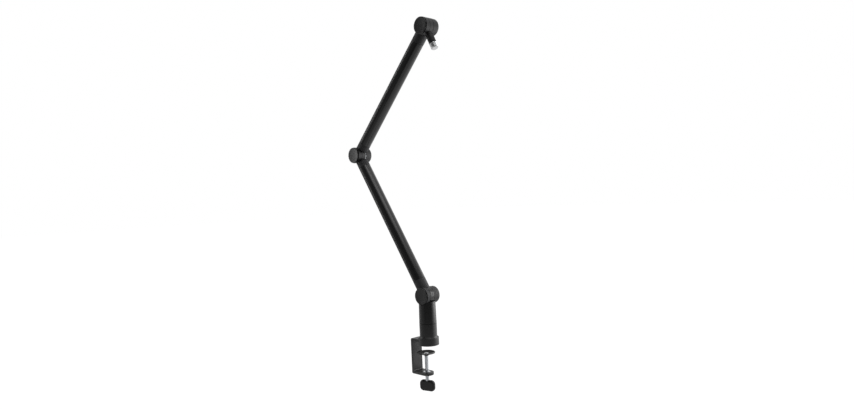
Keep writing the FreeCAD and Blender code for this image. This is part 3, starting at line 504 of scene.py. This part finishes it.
# pad: rings moulded into its underside, where it grips the table
pad = {"radius": 19, "top": 5.3, "edge": 0.6, "grooves": (15.6, 12.4, 9.2, 6.0), "grooveHalf": 0.9,
       "grooveDepth": 0.8, "around": 80}
padProfile = [(0, pad["top"]), (pad["radius"], pad["top"]), (pad["radius"], pad["edge"]),
              (pad["radius"] - pad["edge"], 0)]
for radius in pad["grooves"]:
    padProfile += [(radius + pad["grooveHalf"], 0), (radius + pad["grooveHalf"] / 2, pad["grooveDepth"]),
                   (radius - pad["grooveHalf"] / 2, pad["grooveDepth"]), (radius - pad["grooveHalf"], 0)]
form = bmesh.new()
addRings(form, padProfile + [(0, 0)], pad["around"])
addPiece("groovedPad", form, standing(Vector(), (0, 0, 1)), "clamp", "mouldedRubber", "jaw_pad")
print("pad: grooved")

# grub screw: a hexagon socket in the face that shows on the column's back
grub = {"tip": 2.0, "tipLength": 1.4, "radius": 3.0, "chamfer": 0.3, "socket": 1.73, "socketSides": 6,
        "socketDepth": 2.4, "socketCone": 0.5, "around": 36}
grubLow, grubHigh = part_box("swivel_grub_screw")
grubLength = (grubHigh.x - grubLow.x) / millimetre
grubFoot = Vector((grubHigh.x, 0, (grubLow.z + grubHigh.z) / 2))
socketFloor = grubLength - grub["socketDepth"]
form = bmesh.new()
addRings(form, [(0, 0), (grub["tip"], 0), (grub["tip"], grub["tipLength"]),
                (grub["radius"], grub["tipLength"]), (grub["radius"], grubLength - grub["chamfer"]),
                (grub["radius"] - grub["chamfer"], grubLength),
                (grub["socket"], grubLength, grub["socketSides"]),
                (grub["socket"], socketFloor, grub["socketSides"]),
                (0, socketFloor - grub["socketCone"])], grub["around"])
addPiece("socketGrubScrew", form, standing(grubFoot, (-1, 0, 0)), "column", "zincSteel", "swivel_grub_screw")
print("grub screw: socketed")

# shim: a plated ring whose rim glints in the elbow's right-hand seam
shim = {"inner": 16.45, "outer": 17.8, "thick": 0.5, "seam": 0.7, "around": 96}
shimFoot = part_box("elbow_washers")[1].y / millimetre - (shim["seam"] + shim["thick"]) / 2
form = bmesh.new()
addRings(form, [(shim["inner"], 0), (shim["outer"], 0), (shim["outer"], shim["thick"]),
                (shim["inner"], shim["thick"]), (shim["inner"], 0)], shim["around"])
addPiece("elbowShim", form, standing(hinges["elbow"], (0, 1, 0), shimFoot), "upper_arm", "zincSteel")
print("shim: in the elbow")

# rubber lips that close the slots in which the spring wires swing, each pair split along its middle
lips = {"inner": 17.1, "outer": 17.92, "split": 0.03, "edge": 1.1, "steps": 28,
        "arcs": {"column": ("shoulder", 14, 166), "lower_arm": ("elbow", 0, 108)}}  # degrees up from +X
for body, (joint, first, last) in lips["arcs"].items():
    form = bmesh.new()
    for low, high in ((-lips["edge"], -lips["split"]), (lips["split"], lips["edge"])):
        section = ((lips["inner"], low), (lips["outer"], low), (lips["outer"], high), (lips["inner"], high))
        rings = []
        for step in range(lips["steps"] + 1):
            angle = math.radians(first + (last - first) * step / lips["steps"])
            rings.append([form.verts.new((r * math.cos(angle), y, r * math.sin(angle))) for r, y in section])
        for near, far in zip(rings, rings[1:]):
            for side in range(len(section)):
                form.faces.new((near[side - 1], near[side], far[side], far[side - 1]))
        form.faces.new(rings[0])
        form.faces.new(rings[-1])
    place = Matrix.Translation(hinges[joint]) @ Matrix.Scale(millimetre, 4)
    addPiece(joint + "SlotLips", form, place, body, "mouldedSilicone")
print("slot lips:", len(lips["arcs"]))

# balance springs: each wire is copied into an object of its own with its place baked in, and the frame's spring is
# hidden
springs = {"bend": (12, 22),  # millimetres up the arm between which the wire turns
           "wires": {"lower": ("shoulder", "column", "lower_arm"),
                     "upper": ("elbow", "lower_arm", "upper_arm")}}
for side, (joint, fixed, moving) in springs["wires"].items():
    mesh = nodes[side + "_spring"].data.copy()
    mesh.transform(nodes[side + "_spring"].matrix_world)
    wire = bpy.data.objects.new(side + "SpringWire", mesh)
    bpy.context.scene.collection.objects.link(wire)
    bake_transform(wire)
    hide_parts(side + "_spring")
print("springs:", len(springs["wires"]))
